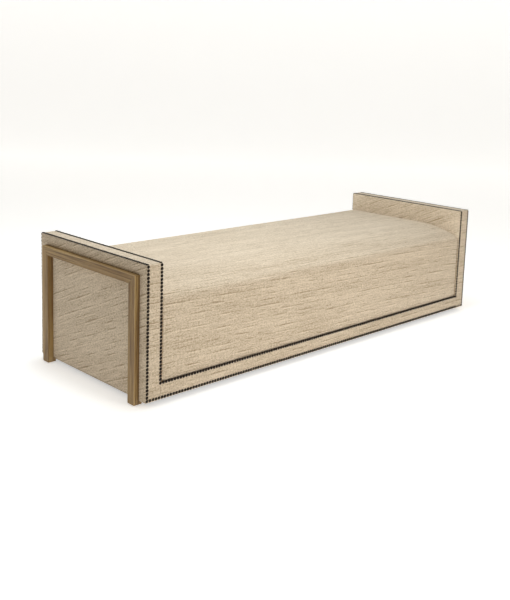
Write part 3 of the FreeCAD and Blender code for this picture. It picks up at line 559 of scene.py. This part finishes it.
for side, end in ((-1, "left"), (1, "right")):
    panel = soft_panel(f"{end}_panel_linen", side)
    spot = places(panel)
    from_rim = np.minimum(panel_side - np.abs(spot[:, 1]), spot[:, 2] - panel_low)
    from_rim = np.minimum(from_rim, panel_top - spot[:, 2])
    on_face = np.abs(spot[:, 0]) > panel_x - panel_depth / 2
    filled(panel, np.where(on_face, np.clip(from_rim / panel_fade, 0, 1), 0), panel_cap)
    spot = places(panel)
    lay_aslant(panel, spot[:, 1], spot[:, 2], side, face_start)
    panel.data.materials.append(cloth_finish)
    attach(panel, "root")
    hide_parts(f"{end}_panel_cover")


# ---- the inner faces of the end boards ----
# Linen over wadding on a thin board. The cloth turns over the board's edge to the inner row of nails.

end_thickness, inner_swell, swell_width = 0.077, 0.0012, 0.05
for side, end in ((-1, "left"), (1, "right")):
    from_outer = np.concatenate([[inner_row, end_thickness - fold_radius - 0.001],
                                 end_thickness - fold_radius + fold_radius * np.sin(quarter),
                                 np.full(18, end_thickness)])
    from_edge = np.concatenate([[0, 0], fold_radius * (1 - np.cos(quarter)),
                                fold_radius + (half_depth - fold_radius) * np.linspace(0, 1, 19)[1:] ** 1.7])
    swell = inner_swell * np.sin(np.pi / 2 * np.clip((from_edge - fold_radius) / swell_width, 0, 1))
    from_outer[1:] += swell[1:] - inner_swell
    from_outer = np.concatenate([from_outer, [end_thickness - border_depth, inner_row]])
    from_edge = np.concatenate([from_edge, [half_depth, border_depth]])
    y, z = eased(*round_the_board(from_edge), corner_radius)
    points = np.stack([np.broadcast_to(side * (outer_x - from_outer), y.shape), y, z], -1)
    dimpled(points, from_edge, board_nails(side))
    wrapped = np.concatenate([points, points[:, :1]], axis=1)
    inner = finished(f"{end}_inner_linen", wrapped, grid_faces(*wrapped.shape[:2]))
    flat_y, flat_z = round_the_board(np.append(along_path(from_outer, from_edge), 1.0))
    lay_aslant(inner, flat_y, flat_z, side, inner_start)
    close_ends(inner)
    inner.data.materials.append(cloth_finish)
    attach(inner, "root")
    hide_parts(f"{end}_inner_cover", f"{end}_wadding")


# ---- the bottom bands ----
# A strip of linen along the bottom of the front and of the back, nailed along both edges.

band_nail_low = board_low + nail_inset
for sign, face in ((-1, "front"), (1, "back")):
    x, z = np.meshgrid(np.linspace(-outer_x + inner_row, outer_x - inner_row, 571),
                       np.linspace(board_low, band_top, 20), indexing="ij")
    points = np.stack([x, np.full(x.shape, sign * half_depth), z], -1)
    rows = band_nails(sign) + board_nails(-1) + board_nails(1)
    share = np.clip((z - band_nail_low) / (band_top - band_nail_low), 0, 1)
    points[..., 1] += sign * (strip_crown * np.sin(np.pi * share) - pressed(points, rows))
    band = finished(f"{face}_band_linen", points, grid_faces(*x.shape)[:, ::sign])
    lay_cloth(band, z + strip_start, x)
    band.data.materials.append(cloth_finish)
    thickened(band)
    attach(band, "root")
    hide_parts(f"{face}_bottom_band")


# ---- the seat ----
# One cover of linen over foam and wadding. It is nailed along the bottom of the front, goes up to a rolled edge,
# back over a gently crowned top, and down the back to the nails there. The foam fills it out tight.

seat_top, seat_inset, seat_spacing = 0.461, 0.003, 0.0145
side_length, across_length = 0.35, 0.78
front_roll_radius, back_roll_radius = 0.035, 0.025
crown_radius, crown_end = 0.625, 0.24
seat_reach, end_length, end_round = 0.9885, 0.0105, 0.007
straight_reach, straight_rows, band_clearance = 0.963, 133, 0.0005
held_margin, held_fade, seat_cap = 0.004, 0.05, 0.004
cloth_peak, cloth_skew, cloth_start = 0.46, 0.035, 5.0


def evenly(path, count):
    """Points spaced evenly along a path, by its length."""
    length = along_path(*path.T)
    wanted = np.linspace(0, length[-1], count)
    return np.stack([np.interp(wanted, length, path[:, 0]), np.interp(wanted, length, path[:, 1])], 1)


def seat_sides():
    """The seat's section in y and z as four sides: up the front to the middle of its roll, over the crown's arc
    and the flat top, down the back from the middle of its roll, and along the bottom."""
    front, back = -half_depth + seat_inset, half_depth - seat_inset
    low, top = band_top + band_clearance, seat_top - seat_inset
    fall, roll = crown_radius - seat_inset, front_roll_radius - seat_inset
    back_roll = back_roll_radius - seat_inset
    centre = (-half_depth + crown_end, top - fall)
    reach = front + roll - centre[0]
    roll_z = centre[1] + math.sqrt((fall - roll) ** 2 - reach ** 2)
    touch = math.atan2(roll_z - centre[1], reach)
    swing = np.linspace(math.pi, touch, 31)
    arc = np.linspace(touch, math.pi / 2, 61)
    turn = np.linspace(math.pi / 2, 0, 31)
    front_roll = np.stack([front + roll + roll * np.cos(swing), roll_z + roll * np.sin(swing)], 1)
    crown = np.stack([centre[0] + fall * np.cos(arc), centre[1] + fall * np.sin(arc)], 1)
    rear_roll = np.stack([back - back_roll + back_roll * np.cos(turn),
                          top - back_roll + back_roll * np.sin(turn)], 1)
    up = np.concatenate([[[front, low]], front_roll[:16]])
    over = np.concatenate([front_roll[15:], crown[1:], rear_roll[:16]])
    down = np.concatenate([rear_roll[15:], [[back, low]]])
    under = np.array([down[-1], up[0]])
    rows, columns = round(side_length / seat_spacing), round(across_length / seat_spacing)
    return evenly(up, rows), evenly(over, columns), evenly(down, rows), evenly(under, columns)


def end_patch(up, over, down, under):
    """Grid that fills four sides: the blend of opposite sides, both ways, less the blend of the corners."""
    u = np.linspace(0, 1, len(over))[None, :, None]
    v = np.linspace(0, 1, len(up))[:, None, None]
    left, right, bottom, top = up[:, None], down[::-1][:, None], under[::-1][None], over[None]
    corners = (1 - u) * ((1 - v) * up[0] + v * up[-1]) + u * ((1 - v) * down[-1] + v * down[0])
    return (1 - u) * left + u * right + (1 - v) * bottom + v * top - corners


sides = seat_sides()
outline = np.concatenate([side[:-1] for side in sides])
drop = np.array([0.0, 0.0015, 0.005, end_length])
straight = np.linspace(-straight_reach, straight_reach, straight_rows)
span = np.concatenate([-seat_reach + drop, straight, seat_reach - drop[::-1]])
hold = np.clip(1 - (seat_reach - np.abs(span)) / end_length, 0, 1)
shrink = end_round * (1 - np.sqrt(1 - hold ** 2))
slope = np.roll(outline, -1, axis=0) - np.roll(outline, 1, axis=0)
inward = np.stack([slope[:, 1], -slope[:, 0]], 1) / np.linalg.norm(slope, axis=1, keepdims=True)
skin = outline[None] + shrink[:, None, None] * inward[None]
shell = np.concatenate([np.broadcast_to(span[:, None, None], (*skin.shape[:2], 1)), skin], -1)
shell = np.concatenate([shell, shell[:, :1]], axis=1)
points, faces = [shell.reshape(-1, 3)], [grid_faces(*shell.shape[:2])]
first = shell.shape[0] * shell.shape[1]
starts = np.cumsum([0] + [len(side) - 1 for side in sides])
for x, ring in ((-seat_reach, skin[0]), (seat_reach, skin[-1])):
    closed = np.concatenate([ring, ring[:1]])
    patch = end_patch(*[closed[start:end + 1] for start, end in zip(starts[:-1], starts[1:])])
    points.append(np.concatenate([np.full((*patch.shape[:2], 1), x), patch], -1).reshape(-1, 3))
    faces.append(grid_faces(*patch.shape[:2], first))
    first += patch.shape[0] * patch.shape[1]
seat = finished("seat_linen", np.concatenate(points), np.concatenate(faces))
close_ends(seat)
spot = places(seat)
loose = np.clip((seat_reach - held_margin - np.abs(spot[:, 0])) / held_fade, 0, 1)
loose = loose * np.clip((spot[:, 2] - band_top - held_margin) / held_fade, 0, 1)
filled(seat, loose, seat_cap)
spot = places(seat)
# The slubs run along the seat at a slight slant. Across them the cloth goes up the front, over, and down the back.
across = np.where(spot[:, 1] < 0, spot[:, 1] + spot[:, 2], spot[:, 1] + 2 * cloth_peak - spot[:, 2])
lay_cloth(seat, across + cloth_skew * spot[:, 0] + cloth_start, spot[:, 0])
seat.data.materials.append(cloth_finish)
smooth = seat.modifiers.new("smooth", "SUBSURF")
smooth.levels = smooth.render_levels = 1
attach(seat, "root")
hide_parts("seat_cover", "seat_wadding", "seat_foam")


# ---- the nails ----
# Domed heads of dark bronze, driven by hand in single rows, so each sits a little off its place.

def bronze():
    """Dark bronze: brown worn to a lighter metal in small patches, one tone for each nail."""
    finish = Finish("nail_bronze", 0.45, 0.4)
    finish.shader.inputs["Specular IOR Level"].default_value = 0.3
    place = finish.node("TexCoord", {}, {}, "Object")
    lightened = finish.noise(place, (260, 260, 260), 3)
    each = finish.noise(place, (45, 45, 45), 1)
    colour = finish.blend(finish.step(lightened, 0.45, 0.75, 0.0, 0.6), paint((32, 25, 18)), paint((74, 57, 38)))
    colour = finish.blend(finish.step(each, 0.35, 0.65, 0.0, 0.45), colour, paint((22, 17, 13)))
    return finish.feed(Base_Color=colour, Roughness=0.36 + 0.3 * lightened, height=lightened, depth=0.0003)


head_sides = 12
head_rings = ((0.0061, -0.0006), (0.0065, 0.0003), (0.0056, 0.0016), (0.0033, 0.0028))
head_top, head_limit = 0.0032, 0.0034
nail_lean, nail_shift = 0.04, 0.0002


def heads(name, rows, seed):
    """Nail heads: rings of points up a dome, turned to stand on the cloth, with a small offset and lean each. The
    rings are radii and heights in metres."""
    corner = np.arange(head_sides)
    ahead = np.roll(corner, -1)
    angle = corner * 2 * math.pi / head_sides
    template = [np.stack([r * np.cos(angle), r * np.sin(angle), np.full(head_sides, h)], 1) for r, h in head_rings]
    template = np.concatenate(template + [np.array([[0, 0, head_top]])])
    last_ring = head_sides * (len(head_rings) - 1)
    band = np.stack([corner, ahead, ahead + head_sides, corner + head_sides], 1)
    bands = np.concatenate([band + level for level in range(0, last_ring, head_sides)])
    cap = np.stack([corner + last_ring, ahead + last_ring, np.full(head_sides, len(template) - 1)], 1)
    chance = np.random.default_rng(seed)
    points = []
    for feet, direction in rows:
        facing = np.array(direction, float)
        first = np.array([1.0, 0, 0])
        second = np.cross(facing, first)
        lean = chance.normal(0, nail_lean, (len(feet), 2))
        shift = chance.normal(0, nail_shift, (len(feet), 2))
        aside, out, high = template.T[:, None]
        high = np.minimum(high - lean[:, :1] * aside - lean[:, 1:] * out, head_limit)
        points.append(feet[:, None] + (aside + shift[:, :1])[..., None] * first
                      + (out + shift[:, 1:])[..., None] * second + high[..., None] * facing)
    points = np.concatenate(points)
    offset = np.arange(len(points))[:, None, None] * len(template)
    quads = (bands[None] + offset).reshape(-1, 4)
    caps = (cap[None] + offset).reshape(-1, 3)
    bottoms = (corner[::-1][None] + offset[:, 0]).reshape(-1, head_sides)
    mesh = bpy.data.meshes.new(name)
    mesh.from_pydata(points.reshape(-1, 3).tolist(), [], quads.tolist() + caps.tolist() + bottoms.tolist())
    mesh.polygons.foreach_set("use_smooth", np.full(len(mesh.polygons), True))
    made = bpy.data.objects.new(name, mesh)
    bpy.context.scene.collection.objects.link(made)
    return made


nail_finish = bronze()
for name, node, rows, seed in (("left_board_nail_heads", "left_end_nails", board_nails(-1), 3),
                               ("right_board_nail_heads", "right_end_nails", board_nails(1), 5),
                               ("front_band_nail_heads", "front_band_nails", band_nails(-1), 7),
                               ("back_band_nail_heads", "back_band_nails", band_nails(1), 11)):
    nails = heads(name, rows, seed)
    nails.data.materials.append(nail_finish)
    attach(nails, "root")
    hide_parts(node)


# ---- what is inside ----
# Softwood frames, boards, steel springs and fasteners, and the cloths under the foam and under the whole.

def softwood():
    """Pale softwood: growth lines along its length, with darker late wood."""
    finish = Finish("softwood", 0.7)
    place = finish.node("TexCoord", {}, {}, "Object")
    lines = finish.noise(place, (3, 60, 140), 3)
    colour = finish.blend(finish.step(lines, 0.42, 0.66), paint((214, 186, 142)), paint((176, 138, 92)))
    return finish.feed(Base_Color=colour, Roughness=0.62 + 0.2 * lines, height=lines, depth=0.0003)


def plywood():
    """Thin plywood: fine brown fibres."""
    finish = Finish("plywood", 0.75)
    place = finish.node("TexCoord", {}, {}, "Object")
    fibres = finish.noise(place, (240, 90, 120), 4, 0.7)
    colour = finish.blend(fibres, paint((120, 88, 58)), paint((164, 128, 88)))
    return finish.feed(Base_Color=colour, Roughness=0.68 + 0.15 * fibres, height=fibres, depth=0.0002)


def steel(name, bright, dull, roughness):
    """Steel wire or zinc plate with dull patches."""
    finish = Finish(name, roughness, 1.0)
    place = finish.node("TexCoord", {}, {}, "Object")
    patches = finish.noise(place, (120, 120, 120), 3)
    return finish.feed(Base_Color=finish.blend(patches, paint(bright), paint(dull)),
                       Roughness=roughness + 0.25 * patches, height=patches, depth=0.0001)


def plain_cloth(name, light, dark, pitch):
    """Open plain weave on Object coordinates: waves along both directions of the cloth."""
    finish = Finish(name, 0.9)
    place = finish.node("TexCoord", {}, {}, "Object")
    weft = finish.sine(finish.part(place, 1) * (2 * math.pi / pitch))
    warp = finish.sine(finish.part(place, 0) * (2 * math.pi / pitch))
    tone = finish.noise(place, (30, 30, 30), 3)
    share = 0.5 + 0.2 * weft + 0.2 * warp + 0.4 * (tone - 0.5)
    return finish.feed(Base_Color=finish.blend(share, paint(dark), paint(light)),
                       Roughness=0.95 - 0.1 * tone, height=weft + warp, depth=0.0002)


def moulded(name, light, dark):
    """Moulded plastic with a fine grained surface."""
    finish = Finish(name, 0.5)
    place = finish.node("TexCoord", {}, {}, "Object")
    grain = finish.noise(place, (700, 700, 700), 2)
    return finish.feed(Base_Color=finish.blend(grain, paint(dark), paint(light)),
                       Roughness=0.42 + 0.2 * grain, height=grain, depth=0.0001)


timber = softwood()
inside = {"inner_timber": timber, "dowel_wood": timber, "board": plywood(),
          "hessian": plain_cloth("hessian", (170, 142, 98), (112, 88, 56), 0.002),
          "dust_cloth": plain_cloth("dust_cloth", (44, 43, 42), (26, 25, 25), 0.0012),
          "spring_steel": steel("spring_steel", (150, 150, 148), (96, 94, 92), 0.35),
          "fastener_steel": steel("zinc_plate", (190, 188, 180), (138, 136, 128), 0.3),
          "glide": moulded("glide_nylon", (58, 54, 50), (40, 37, 34))}
slot_of = {part["node"]: part["material_slot"] for part in frame["record"]["subparts"]}
for name, node in nodes.items():
    if slot_of[name] in inside and not node.hide_render:
        node.data.materials.clear()
        node.data.materials.append(inside[slot_of[name]])
